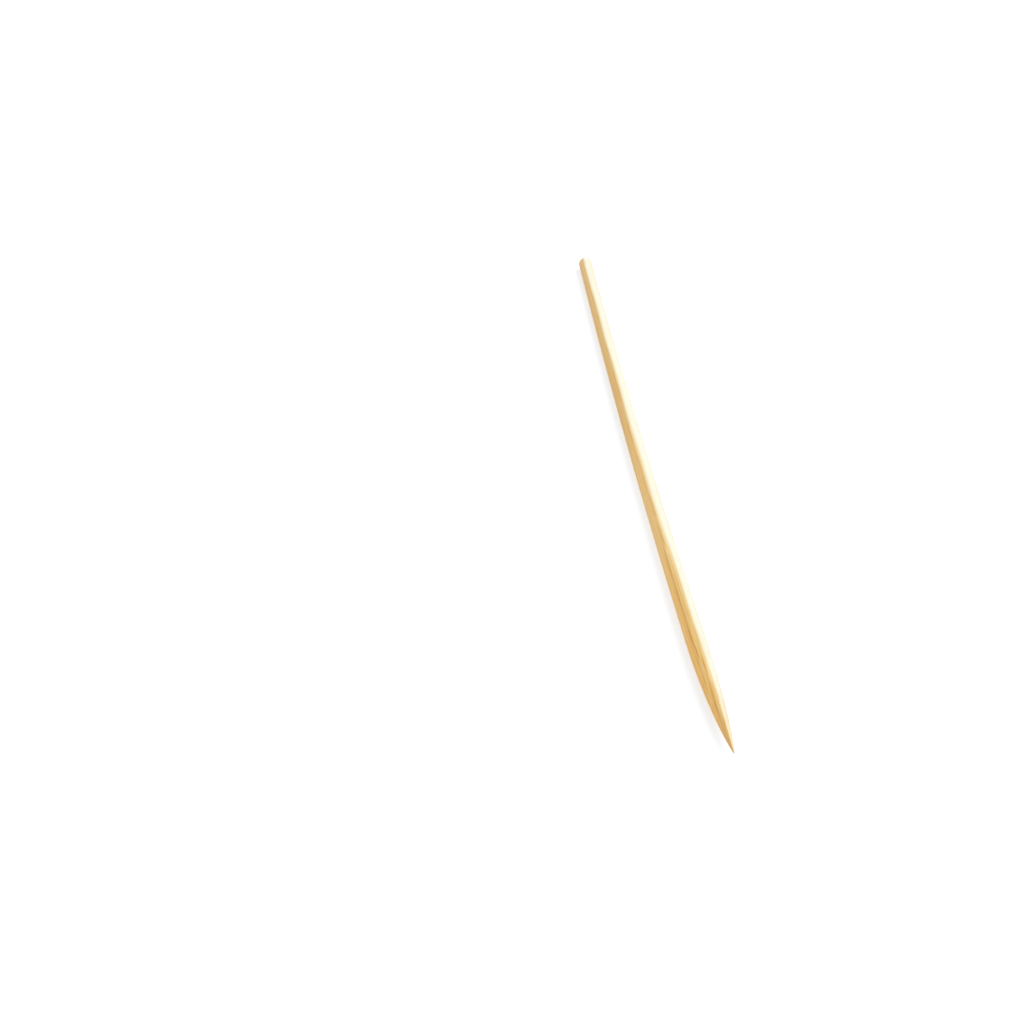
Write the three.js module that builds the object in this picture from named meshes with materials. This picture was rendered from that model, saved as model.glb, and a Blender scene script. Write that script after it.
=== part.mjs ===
// A bamboo skewer for grilling: one round splint of bamboo, sharpened to a long ogive at one end
// and sawn square at the other, with the slight bow that split bamboo keeps when it dries.
// Millimetres, +Z up. It lies along Y, point towards -Y, on the plane z = 0. The bow lies in that
// plane, as it does on a table, and the origin is on the table below the middle of the part's box.

import * as THREE from "three";

// Driving dimensions
const LENGTH = 250; // from the tip to the sawn end
const DIAMETER = 5; // of the round shank
const POINT_LENGTH = 36; // from the tip to where the shank has its full diameter
const TIP_RADIUS = 0.15; // the very tip, rubbed blunt
const ARRIS_RADIUS = 0.6; // the tumbled edge of the sawn end
const BOW = 1.3; // how far the middle stands off the straight line between the ends
const TIP_DRIFT = 0.25; // how far off the axis the sharpening ends

// Shape of the point and of the bow, as shares
const TIP_HANDLE = 0.28; // of the point's length: how far the flank follows the tip's slope
const TIP_FULLNESS = 0.78; // of the radius: what that slope reaches there
const SHOULDER_HANDLE = 0.33; // of the point's length: how far the shoulder follows the shank
const BOW_SKEW = 0.25; // moves the deepest part of the bow towards the point

// Fineness of the surface
const SIDES = 48;
const TIP_STEPS = 3;
const FLANK_STEPS = 26;
const SHANK_STEPS = 30;
const ARRIS_STEPS = 5;

const radius = DIAMETER / 2;

// Outline of one half, as (distance from the axis, distance from the tip): a small round nose, a
// flank that leaves it on its tangent and swells into the shank, the shank, the arris, the sawn face.
function halfOutline() {
  const flankStart = new THREE.Vector2(TIP_FULLNESS * radius, TIP_HANDLE * POINT_LENGTH);
  const shoulder = new THREE.Vector2(radius, POINT_LENGTH);
  const nose = new THREE.Vector2(0, TIP_RADIUS);

  // The tangent from the flank's first handle to the nose's circle gives the slope at the tip.
  const reach = flankStart.clone().sub(nose);
  const slope = Math.atan2(reach.x, reach.y) - Math.asin(TIP_RADIUS / reach.length());
  const noseEnd = new THREE.Vector2(
    TIP_RADIUS * Math.cos(slope),
    TIP_RADIUS * (1 - Math.sin(slope)),
  );

  const noseArc = new THREE.EllipseCurve(0, TIP_RADIUS, TIP_RADIUS, TIP_RADIUS, -Math.PI / 2, -slope);
  const flank = new THREE.CubicBezierCurve(
    noseEnd,
    flankStart,
    new THREE.Vector2(radius, (1 - SHOULDER_HANDLE) * POINT_LENGTH),
    shoulder,
  );
  const shank = new THREE.LineCurve(shoulder, new THREE.Vector2(radius, LENGTH - ARRIS_RADIUS));
  const arris = new THREE.EllipseCurve(
    radius - ARRIS_RADIUS,
    LENGTH - ARRIS_RADIUS,
    ARRIS_RADIUS,
    ARRIS_RADIUS,
    0,
    Math.PI / 2,
  );

  const points = [new THREE.Vector2(0, 0)];
  const pieces = [
    [noseArc, TIP_STEPS],
    [flank, FLANK_STEPS],
    [shank, SHANK_STEPS],
    [arris, ARRIS_STEPS],
  ];
  for (const [curve, steps] of pieces) points.push(...curve.getPoints(steps).slice(1));
  points.push(new THREE.Vector2(0, LENGTH));
  return points;
}

// Sideways place of the centre line at a distance from the tip. The bow is a parabola between the
// two ends, deeper towards the point, and the sharpened end leaves it by the drift of the tip.
function centreLine(distance) {
  const t = (2 * distance) / LENGTH - 1;
  const bow = -BOW * (1 - t * t) * (1 - BOW_SKEW * t);
  const left = Math.max(0, 1 - distance / POINT_LENGTH);
  return bow + TIP_DRIFT * left * left;
}

// Every cross-section slides sideways in its own plane, so the sawn end stays flat and square to Y.
function bend(geometry) {
  const position = geometry.getAttribute("position");
  for (let i = 0; i < position.count; i++)
    position.setX(i, position.getX(i) + centreLine(position.getY(i)));
  geometry.computeVertexNormals();
}

const bamboo = new THREE.MeshStandardMaterial({ color: 0xeed2a5, roughness: 0.55, metalness: 0 });

function makeSkewer() {
  const geometry = new THREE.LatheGeometry(halfOutline(), SIDES);
  bend(geometry);
  geometry.computeBoundingBox();
  const middle = geometry.boundingBox.getCenter(new THREE.Vector3());
  const skewer = new THREE.Mesh(geometry, bamboo);
  skewer.name = "skewer";
  skewer.position.set(-middle.x, -middle.y, -geometry.boundingBox.min.z);
  return skewer;
}

const part = new THREE.Group();
part.add(makeSkewer());

export default part;
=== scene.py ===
"""A round bamboo skewer on a white studio table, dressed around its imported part.

The part lies along Y with its point towards -Y and rests on the plane z = 0. The skewer's own surface
is worked out here as one closed skin: the part's outline and bow, with the relief that sawing, turning,
sharpening and tumbling leave in bamboo. Sizes of the skewer are in millimetres, as on a drawing, and
everything that reaches Blender is in metres.
"""

import logging
import math
from collections.abc import Sequence
from dataclasses import astuple, dataclass, field, replace
from enum import Enum

import bpy
import numpy as np
from mathutils import Matrix, Vector


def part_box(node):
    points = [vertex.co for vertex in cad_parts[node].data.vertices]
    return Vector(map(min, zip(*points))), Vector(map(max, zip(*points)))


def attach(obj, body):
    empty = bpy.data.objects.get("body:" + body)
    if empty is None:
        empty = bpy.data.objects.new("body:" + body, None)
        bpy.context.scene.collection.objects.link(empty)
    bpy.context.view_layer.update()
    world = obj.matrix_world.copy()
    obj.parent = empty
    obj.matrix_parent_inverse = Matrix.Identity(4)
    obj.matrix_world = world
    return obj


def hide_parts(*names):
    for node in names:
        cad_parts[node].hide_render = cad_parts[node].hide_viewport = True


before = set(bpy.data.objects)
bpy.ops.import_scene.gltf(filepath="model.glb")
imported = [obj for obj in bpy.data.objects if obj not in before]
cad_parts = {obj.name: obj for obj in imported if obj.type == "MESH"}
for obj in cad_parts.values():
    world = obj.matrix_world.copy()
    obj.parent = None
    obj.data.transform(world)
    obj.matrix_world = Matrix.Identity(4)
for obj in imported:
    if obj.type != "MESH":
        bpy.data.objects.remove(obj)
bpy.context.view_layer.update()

LOG = logging.getLogger("skewer")
MM = 0.001
NODE = "skewer"
BODY = "root"

# A colour in linear light, a colour as a screen shows it, and a place in metres.
Colour = tuple[float, float, float]
Shown = tuple[int, int, int]
Point = tuple[float, float, float]
# Two and three numbers that belong together. The field that holds them says what they are.
Span = tuple[float, float]
Trio = tuple[float, float, float]
Socket = bpy.types.NodeSocket


def linear(red: int, green: int, blue: int) -> Colour:
    """Turns a colour as a screen shows it, 0 to 255, into the scene's linear light.

    Args:
        red: red as shown on a screen.
        green: green as shown on a screen.
        blue: blue as shown on a screen.

    Returns:
        The three channels in linear light, from 0 to 1.
    """
    shown = np.array([red, green, blue]) / 255
    light = np.where(shown <= 0.04045, shown / 12.92, ((shown + 0.055) / 1.055) ** 2.4)
    return tuple(float(channel) for channel in light)


def put(name: str, data: bpy.types.ID) -> bpy.types.Object:
    """Puts a new object in the scene.

    Args:
        name: its name.
        data: its mesh, lamp or camera.

    Returns:
        The object, at the origin.
    """
    thing = bpy.data.objects.new(name, data)
    bpy.context.scene.collection.objects.link(thing)
    return thing


class Zone(Enum):
    """The three stretches of the skewer's skin, which were made by different tools."""

    POINT = "ground to an ogive"
    SHANK = "turned round and tumbled"
    SAWN_END = "sawn square across the grain"


@dataclass(frozen=True)
class SkewerSizes:
    """The part's own sizes in millimetres, with its shares for the point and the bow.

    Attributes:
        length: distance from the tip to the sawn end.
        diameter: diameter of the round shank.
        point_length: distance from the tip to where the shank has its full diameter.
        tip_radius: radius of the very tip, rubbed blunt.
        arris_radius: radius of the tumbled edge of the sawn end.
        bow: how far the middle stands off the straight line between the ends.
        tip_drift: how far off the axis the sharpening ends.
        tip_handle: share of the point's length over which the flank follows the tip's slope.
        tip_fullness: share of the radius that this slope reaches there.
        shoulder_handle: share of the point's length over which the shoulder follows the shank.
        bow_skew: share by which the deepest part of the bow is moved towards the point.
    """

    length: float
    diameter: float
    point_length: float = 36.0
    tip_radius: float = 0.15
    arris_radius: float = 0.6
    bow: float = 1.3
    tip_drift: float = 0.25
    tip_handle: float = 0.28
    tip_fullness: float = 0.78
    shoulder_handle: float = 0.33
    bow_skew: float = 0.25

    @property
    def radius(self) -> float:
        """Half of the shank's diameter."""
        return self.diameter / 2


@dataclass(frozen=True)
class Fineness:
    """How finely the skin is divided.

    Attributes:
        sides: points around each ring.
        nose, flank, shank, arris, face: rings along each stretch.
    """

    sides: int = 120
    nose: int = 4
    flank: int = 250
    shank: int = 440
    arris: int = 8
    face: int = 24


@dataclass(frozen=True)
class Relief:
    """How deep the marks are that the tools and the grain leave. Lengths are in millimetres.

    Attributes:
        between_bundles: the hollow between two fibre bundles.
        fibre: the fine ridges of the fibres.
        ridges: how many waves around the skewer the coarsest and the finest ridges make.
        ridge_run: length over which the ridges change.
        ridge_turns: how far the ridges turn to and fro in each of two sine waves, in radians.
        ridge_short: length of the second wave, as a share of the first.
        ridge_level: what brings the sum of the ridges to between about -1 and 1.
        ground_past: how far behind the point the grinding still shows.
        ground_fade: length over which it fades out.
        ground_down: share of the hollows that the grinding takes away.
        ground_open: share by which it deepens the fibres.
        out_of_round: how much thinner the shank is one way than the other.
        thick_way: the way in which it is thickest, in radians from +X.
        wander: how much its thickness changes.
        wander_runs: what the distance is divided by in the two sine waves of that change.
        grinding_flat: the long flats on the point.
        flats: how many of them go around it.
        flats_turn: their phase, how far it turns to and fro, both in radians, and what the distance is
            divided by in the sine wave of that turning.
        flats_reach: what draws their half sine wave together, so that they fade out before the tip.
        fades: slope of the line by which all hollows fade out towards the centre line, and what is
            taken from it.
        arris_wear: what tumbling takes off the edge of the sawn end.
        arris_waves: height, number around the end and phase of each wave of that wear.
        sawn_face: how rough the sawn face is.
        stroke_share: share of that roughness that the strokes of the saw make.
        stroke_slant: slant of the strokes, as their rise for each step across.
        saw_pitch: distance between two strokes of the saw.
        tip_reach: distance from the tip over which the point's end darkens.
    """

    between_bundles: float = 0.012
    fibre: float = 0.010
    ridges: tuple[int, int] = (14, 34)
    ridge_run: float = 26.0
    ridge_turns: Span = (2.2, 1.3)
    ridge_short: float = 0.37
    ridge_level: float = 1.6
    ground_past: float = 2.0
    ground_fade: float = 6.0
    ground_down: float = 0.4
    ground_open: float = 0.6
    out_of_round: float = 0.030
    thick_way: float = 0.6
    wander: float = 0.025
    wander_runs: Span = (19.0, 47.0)
    grinding_flat: float = 0.034
    flats: int = 7
    flats_turn: Trio = (1.1, 0.5, 6.0)
    flats_reach: float = 1.15
    fades: Span = (1.4, 0.12)
    arris_wear: float = 0.16
    arris_waves: tuple[Trio, Trio] = ((0.3, 3, 0.4), (0.2, 8, 2))
    sawn_face: float = 0.030
    stroke_share: float = 0.35
    stroke_slant: float = 0.35
    saw_pitch: float = 0.42
    tip_reach: float = 22.0


@dataclass(frozen=True)
class Bundle:
    """One fibre bundle of the culm, or one strand of it, at its own place in the section.

    Attributes:
        across: place along X in the straightened skewer, in millimetres.
        up: place along Z from the skewer's middle, in millimetres.
        width: distance from its core at which it has faded by 40 %, in millimetres.
        strength: how strongly it shows, from 0 to 1.
        start: distance from the tip at which it begins to show, in millimetres.
        end: distance from the tip at which it has gone, in millimetres.
        fade: length over which it goes, in millimetres.
    """

    across: float
    up: float
    width: float
    strength: float
    start: float = -10.0
    end: float = 320.0
    fade: float = 45.0

    @classmethod
    def at(cls, degrees: float, radius: float, *rest: float) -> "Bundle":
        """Places a bundle by its angle from +X over the top, and its distance from the middle."""
        turn = math.radians(degrees)
        return cls(radius * math.cos(turn), radius * math.sin(turn), *rest)


@dataclass(frozen=True)
class CulmAndLitSide:
    """How the skewer was cut from the wall of the bamboo culm.

    One side of the skewer is painted pale as lit and the opposite side honey as painted shade. This class
    places the painted terminator between them, along the wall's inner and outer sides.
    The wall's inside has few wide bundles and its outside many narrow ones. All fibres are parallel, and
    they run at a slight slant to the skewer.

    Attributes:
        inner_and_lit_side: direction of the wall's inside, which is also the painted lit side, in degrees
            from +X over the top.
        layer: distance from the skewer's middle at the shoulder at which the painted lit side begins, in
            millimetres.
        waves: how far that place wanders, the length of the wave in millimetres, and its phase.
        dips: how far it bends towards the middle, where along the skewer, and over what distance.
        ground_in: how much nearer the middle the painted lit side begins where the point is ground down,
            in millimetres.
        ground_from: distance from the tip at which that sets in, in millimetres.
        slant: how far the fibres move towards the outer side in each millimetre away from the tip.
        shoulder: distance from the tip at which a fibre's place is given, in millimetres.
        pitch: distance between bundles in millimetres.
        jitter: how far bundles stand off the grid, in millimetres.
        drawn_width: width of a bundle at the wall's inside, how much narrower it is at its outside, and
            how much widths differ, in millimetres.
        drawn_strength: strength of the faintest bundle at the outside, and what the strongest adds.
        drawn_inside: share of the bundles that there are at the inside, and their share of the strength.
        sways_across: how far a bundle sways along X, and what the distance is divided by.
        sways_up: the same along Z.
        beat: by what share its strength changes along it, and what the distance is divided by.
        ramp: length over which it begins to show, in millimetres.
        sawn_through: strength of all bundles on the sawn face, where they are cut across.
        seen: the bundles that show in the photograph.
        slivers: the pale strands beside them that the grinding has lifted.
    """

    # Painted light: the wall's inside and the painted lit side face this way. The painted terminator runs
    # at the next distance from the middle, bent by the waves and dips below.
    inner_and_lit_side: float = 25.0
    layer: float = 1.04
    waves: tuple[Trio, ...] = ((0.17, 164.0, 0.44), (0.11, 48.0, -0.19))
    dips: tuple[Trio, ...] = ((0.19, 188.0, 22.0), (-0.09, 134.0, 16.0), (0.09, 8.0, 5.0))
    ground_in: float = 0.17
    ground_from: float = 32.0
    slant: float = 0.0050
    shoulder: float = 36.0
    pitch: float = 0.66
    jitter: float = 0.17
    drawn_width: Trio = (0.17, 0.06, 0.012)
    drawn_strength: Span = (0.25, 0.4)
    drawn_inside: Span = (0.25, 0.2)
    sways_across: tuple[Span, Span] = ((0.05, 31.0), (0.03, 11.0))
    sways_up: Span = (0.05, 37.0)
    beat: Span = (0.2, 17.0)
    ramp: float = 4.0
    sawn_through: float = 0.9
    seen: tuple[Bundle, ...] = (
        Bundle.at(126.6, 2.49, 0.15, 0.85, 29, 56, 8),
        Bundle.at(123.0, 2.45, 0.12, 1.00, 25, 33, 3),
        Bundle.at(124.5, 2.48, 0.15, 0.75, 46, 68, 8),
        Bundle.at(120.5, 2.48, 0.15, 0.60, 58, 80, 10),
        Bundle.at(116.0, 2.49, 0.15, 0.55, 68, 86, 8),
        Bundle.at(109.6, 2.51, 0.23, 0.70, 78, 118, 12),
        Bundle.at(107.6, 2.51, 0.15, 0.70, 66, 88, 8),
        Bundle.at(110.8, 2.49, 0.20, 0.50, 98, 140, 12),
        Bundle.at(105.2, 2.53, 0.20, 0.45, 125, 178, 20),
        Bundle.at(102.0, 2.56, 0.20, 0.50, 155, 215, 20),
        Bundle.at(99.8, 2.58, 0.20, 0.50, 192, 320, 45),
        Bundle.at(102.3, 2.52, 0.12, 0.40, 50, 66, 6),
        Bundle.at(106.5, 2.51, 0.13, 0.60, 38, 60, 8),
        Bundle.at(106.6, 2.36, 0.13, 0.75, 18, 31, 5),
        Bundle.at(110.8, 2.09, 0.13, 0.55, 15, 23, 4),
        Bundle.at(116.3, 1.97, 0.12, 0.85, 12, 20, 3),
        Bundle.at(119.6, 1.85, 0.15, 1.00, 10, 19, 3),
        Bundle.at(123.6, 1.70, 0.16, 1.00, 7, 17, 3),
        Bundle.at(127.9, 1.55, 0.15, 0.90, 5, 14, 3),
        Bundle.at(110.5, 1.22, 0.10, 0.90, 3, 11, 3),
        Bundle.at(113.7, 0.92, 0.11, 0.80, 2, 9, 3),
        Bundle.at(93.6, 2.52, 0.10, 0.40, 38, 62, 12),
        Bundle.at(96.0, 2.49, 0.10, 0.35, 28, 40, 5),
        Bundle.at(88.9, 2.32, 0.08, 0.60, 20, 30, 4),
        Bundle.at(85.5, 2.14, 0.08, 0.70, 16, 26, 4),
        Bundle.at(84.6, 1.91, 0.08, 0.90, 12, 21, 4),
        Bundle.at(83.3, 1.76, 0.09, 0.75, 10, 19, 3),
        Bundle.at(99.6, 1.63, 0.10, 0.70, 10, 17, 4),
        Bundle.at(121.5, 2.34, 0.08, 0.80, 18, 30, 5),
        Bundle.at(136.6, 2.34, 0.09, 0.60, 20, 31, 4),
        Bundle.at(138.5, 2.16, 0.10, 0.90, 15, 25, 4),
        Bundle.at(146.0, 2.06, 0.09, 0.60, 13, 22, 4),
        Bundle.at(52.5, 1.12, 0.07, 0.90, 3, 12, 3),
        Bundle.at(58.1, 0.92, 0.06, 0.90, 2, 9, 3),
    )
    slivers: tuple[Bundle, ...] = (
        Bundle.at(116.8, 2.45, 0.10, 0.85, 24, 38, 6),
        Bundle.at(127.6, 2.23, 0.09, 0.75, 18, 26, 3),
        Bundle.at(122.1, 2.29, 0.09, 0.80, 20, 28, 3),
        Bundle.at(93.4, 2.18, 0.10, 0.90, 16, 27, 3),
        Bundle.at(92.0, 2.05, 0.09, 0.90, 14, 24, 3),
        Bundle.at(131.7, 1.99, 0.09, 0.70, 12, 20, 3),
        Bundle.at(112.0, 1.60, 0.09, 0.95, 8, 15, 3),
        Bundle.at(74.5, 1.10, 0.08, 0.85, 3, 11, 3),
    )

    def edge(self, along: np.ndarray) -> np.ndarray:
        """Where the painted lit side begins, as the distance of a point from the skewer's middle.

        Args:
            along: distance from the tip, in millimetres.

        Returns:
            The distance in millimetres: the place at the shoulder, plus slow sine waves, less the dips,
            each a bell curve, and less what is ground in, which sets in over a quarter of its stretch.
        """
        sway = np.zeros(along.shape)
        for reach, length, phase in self.waves:
            sway = sway + reach * np.sin(math.tau * along / length + phase)
        for depth, place, width in self.dips:
            sway = sway - depth * np.exp(-((along - place) ** 2) / (2 * width**2))
        share = np.clip((self.ground_from - along) / (0.25 * self.ground_from), 0, 1)
        return self.layer + sway - self.ground_in * share

    def along_fibres(
        self, across: np.ndarray, up: np.ndarray, along: np.ndarray
    ) -> tuple[np.ndarray, np.ndarray]:
        """Finds where the fibres at these points pass through the section at the shoulder.

        Args:
            across: place along X in the straightened skewer, in millimetres.
            up: place along Z from its middle, in millimetres.
            along: distance from the tip, in millimetres.

        Returns:
            The places along X and Z in that section, in millimetres.
        """
        turn = math.radians(self.inner_and_lit_side)
        moved = self.slant * (along - self.shoulder)
        return across + moved * math.cos(turn), up + moved * math.sin(turn)

    def bundles(self, radius: float, seed: int) -> list[Bundle]:
        """Fills the section with bundles on a jittered six-sided grid.

        Towards the inside of the wall they are wider, fewer and fainter.

        Args:
            radius: the skewer's radius in millimetres.
            seed: seed of the draw.

        Returns:
            The drawn bundles, and the ones that show in the photograph.
        """
        draw = np.random.default_rng(seed)
        wide, narrower, uneven = self.drawn_width
        faint, adds = self.drawn_strength
        many_inside, strong_inside = self.drawn_inside
        reach = int(radius / self.pitch) + 3
        steps = np.arange(-reach, reach + 1)
        column, row = (grid.ravel() for grid in np.meshgrid(steps, steps))
        across = (column + 0.5 * (row % 2)) * self.pitch + draw.normal(0, self.jitter, column.size)
        up = row * self.pitch * math.sqrt(3) / 2 + draw.normal(0, self.jitter, column.size)
        turn = math.radians(self.inner_and_lit_side)
        outer_and_shaded = np.clip(0.5 - (across * math.cos(turn) + up * math.sin(turn)) / (2 * radius), 0, 1)
        # Bundles that lie just outside the skewer are kept too, since their edges still show.
        kept_share = many_inside + (1 - many_inside) * outer_and_shaded
        keep = (draw.random(column.size) < kept_share) & (np.hypot(across, up) < radius + 0.2)
        width = wide - narrower * outer_and_shaded + draw.normal(0, uneven, column.size)
        strength = faint + adds * draw.random(column.size)
        strength = strength * (strong_inside + (1 - strong_inside) * outer_and_shaded)
        drawn = zip(across[keep], up[keep], width[keep], strength[keep])
        return [Bundle(*map(float, values)) for values in drawn] + list(self.seen)


@dataclass(frozen=True)
class BakeSheet:
    """How the skin lies on the square for baking its finish. The square's side is 1.

    Attributes:
        front: share of the skewer's length that lies on the front strip.
        edge: space around the strips and the disc.
        strip: width of a strip.
        disc: radius at which a ring as wide as the shank would lie on the disc.
    """

    front: float = 0.36
    edge: float = 0.01
    strip: float = 0.41
    disc: float = 0.06


@dataclass
class Outline:
    """The rings of the skin from the tip to the middle of the sawn face, one entry a ring.

    Attributes:
        radius: distance of the ring from the centre line, in millimetres.
        distance: distance of the ring from the tip along the skewer, in millimetres.
        zone: the stretch that each ring belongs to.
    """

    radius: np.ndarray
    distance: np.ndarray
    zone: np.ndarray

    def of(self, zone: Zone) -> np.ndarray:
        """True for the rings of one stretch."""
        return self.zone == zone.value


@dataclass
class Skewer:
    """The one piece: a splint of bamboo, turned round, sharpened and sawn.

    Attributes:
        sizes: the part's sizes.
        middle: middle of the part's box, in metres.
        fineness: how finely the skin is divided.
        sheet: how it lies on the square for baking.
        relief: the marks of the tools and the grain.
        culm_and_lit_side: how the skewer lies in the wall of the bamboo, and where its painted lit and
            shaded sides lie.
        seed: seed of every random draw.
    """

    sizes: SkewerSizes
    middle: Vector
    fineness: Fineness = field(default_factory=Fineness)
    sheet: BakeSheet = field(default_factory=BakeSheet)
    relief: Relief = field(default_factory=Relief)
    culm_and_lit_side: CulmAndLitSide = field(default_factory=CulmAndLitSide)
    seed: int = 41

    def outline(self) -> Outline:
        """Works out the rings of the half outline.

        A circle of the tip's radius meets a cubic curve on their shared tangent. The curve swells into
        the shank, which runs straight to a quarter circle, the arris. The sawn face closes it.

        Returns:
            The rings without the two poles.
        """
        size, fine = self.sizes, self.fineness
        nose = np.array([0.0, size.tip_radius])
        handle = np.array([size.tip_fullness * size.radius, size.tip_handle * size.point_length])
        reach = handle - nose
        slope = math.atan2(reach[0], reach[1]) - math.asin(size.tip_radius / math.hypot(*reach))
        nose_end = size.tip_radius * np.array([math.cos(slope), 1 - math.sin(slope)])

        turn = np.linspace(-math.pi / 2, -slope, fine.nose + 1)[1:]
        nose_ring = np.stack([np.cos(turn), 1 + np.sin(turn)], 1) * size.tip_radius

        shoulder = np.array([size.radius, size.point_length])
        last = np.array([size.radius, (1 - size.shoulder_handle) * size.point_length])
        step = np.linspace(0, 1, fine.flank + 1)[1:, None]
        flank = (
            (1 - step) ** 3 * nose_end
            + 3 * step * (1 - step) ** 2 * handle
            + 3 * step**2 * (1 - step) * last
            + step**3 * shoulder
        )

        run = np.linspace(size.point_length, size.length - size.arris_radius, fine.shank + 1)[1:]
        shank = np.stack([np.full(fine.shank, size.radius), run], 1)

        turn = np.linspace(0, math.pi / 2, fine.arris + 1)[1:]
        corner = np.array([size.radius, size.length]) - size.arris_radius
        arris = corner + size.arris_radius * np.stack([np.cos(turn), np.sin(turn)], 1)

        inward = np.linspace(size.radius - size.arris_radius, 0, fine.face + 1)[1:-1]
        face = np.stack([inward, np.full(len(inward), size.length)], 1)

        rings = [nose_ring, flank, shank, arris, face]
        zones = [Zone.POINT, Zone.POINT, Zone.SHANK, Zone.SAWN_END, Zone.SAWN_END]
        joined = np.concatenate(rings)
        zone = np.concatenate([np.full(len(r), z.value) for r, z in zip(rings, zones)])
        return Outline(joined[:, 0], joined[:, 1], zone)

    def centre_line(self, distance: np.ndarray) -> np.ndarray:
        """Sideways place of the centre line: a skewed parabola between the ends, and the tip's drift.

        Args:
            distance: distances from the tip in millimetres.

        Returns:
            The place along X in millimetres, before the part is centred on its box.
        """
        size = self.sizes
        along = 2 * distance / size.length - 1
        bow = -size.bow * (1 - along**2) * (1 - size.bow_skew * along)
        left = np.clip(1 - distance / size.point_length, 0, None)
        return bow + size.tip_drift * left**2

    def bundle_field(
        self, bundles: Sequence[Bundle], across: np.ndarray, up: np.ndarray, along: np.ndarray
    ) -> np.ndarray:
        """How much of a fibre bundle lies at each point of the solid.

        The bundles run lengthwise and sway a little, as sine waves. Each one fades with distance as a
        bell curve, and its strength changes slowly along the skewer. A slanted cut through them shows
        long pointed ovals, and a square cut shows dots.

        Args:
            bundles: the bundles to look for.
            across: the fibres' places along X at the shoulder, in millimetres.
            up: their places along Z at the shoulder, in millimetres.
            along: distance from the tip, in millimetres.

        Returns:
            Values from 0, between the bundles, to 1, in the core of a bundle.
        """
        culm_and_lit_side = self.culm_and_lit_side
        (wide, wide_run), (short, short_run) = culm_and_lit_side.sways_across
        high, high_run = culm_and_lit_side.sways_up
        swing, swing_run = culm_and_lit_side.beat
        draw = np.random.default_rng(self.seed + 1)
        total = np.zeros(along.shape)
        for bundle in bundles:
            phase = draw.random(4) * math.tau
            sway_x = wide * np.sin(along / wide_run + phase[0])
            sway_x = sway_x + short * np.sin(along / short_run + phase[1])
            sway_z = high * np.sin(along / high_run + phase[2])
            strength = bundle.strength * (1 - swing + swing * np.sin(along / swing_run + phase[3]))
            strength = strength * np.clip((along - bundle.start) / culm_and_lit_side.ramp, 0, 1)
            strength = strength * np.clip((bundle.end - along) / bundle.fade, 0, 1)
            gap = (across - bundle.across - sway_x) ** 2 + (up - bundle.up - sway_z) ** 2
            total = np.maximum(total, strength * np.exp(-gap / (2 * bundle.width**2)))
        return total

    def ripple(self, angle: np.ndarray, along: np.ndarray) -> np.ndarray:
        """Fine ridges along the grain.

        They are a sum of cosine waves around the skewer, from the coarsest to the finest, whose phases
        turn to and fro along it as two sine waves.

        Args:
            angle: angle around the skewer, in radians.
            along: distance from the tip, in millimetres.

        Returns:
            Values from about -1 to 1.
        """
        depth = self.relief
        low, high = depth.ridges
        slow, quick = depth.ridge_turns
        draw = np.random.default_rng(self.seed + low)
        total = np.zeros(np.broadcast(angle, along).shape)
        for waves in range(low, high):
            phase = draw.random(3) * math.tau
            turn = slow * np.sin(along / depth.ridge_run + phase[0])
            turn = turn + quick * np.sin(along / (depth.ridge_short * depth.ridge_run) + phase[1])
            total += np.cos(waves * angle + phase[2] + turn)
        return total / math.sqrt(high - low) / depth.ridge_level

    def hollows(
        self, angle: np.ndarray, line: Outline, raised: np.ndarray, ground: np.ndarray
    ) -> np.ndarray:
        """How far the skin lies inside the part's outline, before the arris is worn.

        Five depths are added up. Where no bundle is raised there is a hollow, which the grinding takes
        down. Fine ridges, which it opens. A cosine of twice the angle, since the shank isn't quite round.
        Two sine waves along the skewer, since its thickness changes. A cosine around the point for the
        flats of the grinding, which grow and fade along it as half a sine wave. The highest place of the
        shank is at no depth, and all of it fades out at the nose and in the middle of the sawn face.

        Args:
            angle: angle of each side, in radians, as one row.
            line: the outline.
            raised: how much of a bundle lies at each point, from 0 to 1.
            ground: 1 on the ground rings, 0 on the shank, as one column.

        Returns:
            The depth at each point in millimetres.
        """
        size, depth = self.sizes, self.relief
        ring, along = line.radius[:, None], line.distance[:, None]
        short_run, long_run = depth.wander_runs
        first, turns, turn_run = depth.flats_turn
        slope, start = depth.fades
        hollow = depth.between_bundles * (1 - raised) * (1 - depth.ground_down * ground)
        ridges = 0.5 + 0.5 * self.ripple(angle, along)
        hollow += depth.fibre * ridges * (1 + depth.ground_open * ground)
        hollow += depth.out_of_round * (0.5 - 0.5 * np.cos(2 * (angle - depth.thick_way)))
        thickness = 0.5 + 0.25 * np.sin(along / short_run) + 0.25 * np.sin(along / long_run + 2)
        hollow += depth.wander * thickness
        flats = 0.5 - 0.5 * np.cos(depth.flats * angle + first + turns * np.sin(along / turn_run))
        point = np.clip(1 - along / size.point_length, 0, 1)
        grows = np.sin(math.pi * np.clip(point * depth.flats_reach, 0, 1))
        hollow += depth.grinding_flat * flats * grows
        hollow = hollow - hollow[line.of(Zone.SHANK)].min()
        return np.clip(hollow, 0, None) * np.clip(slope * ring / size.radius - start, 0, 1)

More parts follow.
